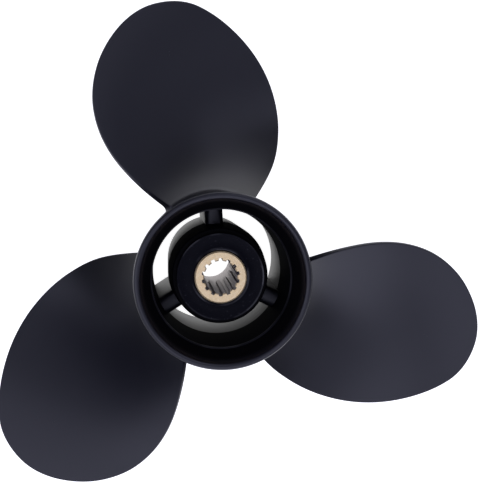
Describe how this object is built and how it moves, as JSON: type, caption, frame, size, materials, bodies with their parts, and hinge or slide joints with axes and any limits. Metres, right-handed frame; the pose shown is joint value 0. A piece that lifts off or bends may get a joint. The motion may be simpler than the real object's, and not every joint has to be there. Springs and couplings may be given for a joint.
{
  "type": "outboard motor propeller",
  "caption": "Three-blade right-hand propeller with exhaust through the hub: flared barrel, ribbed inner hub, rubber bushing and splined sleeve.",
  "frame": {"origin": "on the shaft axis, in the plane of the front rims", "axes": "+Z along the shaft axis, aft, where the exhaust leaves; +Y towards the root of blade_1; +X to the right seen from aft"},
  "size_m": [0.2077, 0.2048, 0.082],
  "materials": {
    "paint": "satin black paint on cast aluminium",
    "rubber": "moulded rubber",
    "bronze": "machined sintered bronze"
  },
  "bodies": {
    "root": {"blade_1": "paint", "blade_2": "paint", "blade_3": "paint", "exhaust_barrel": "paint", "diffuser_ring": "paint", "inner_hub": "paint", "rib_1": "paint", "rib_2": "paint", "rib_3": "paint", "rubber_bushing": "rubber", "splined_sleeve": "bronze"}
  },
  "joints": []
}
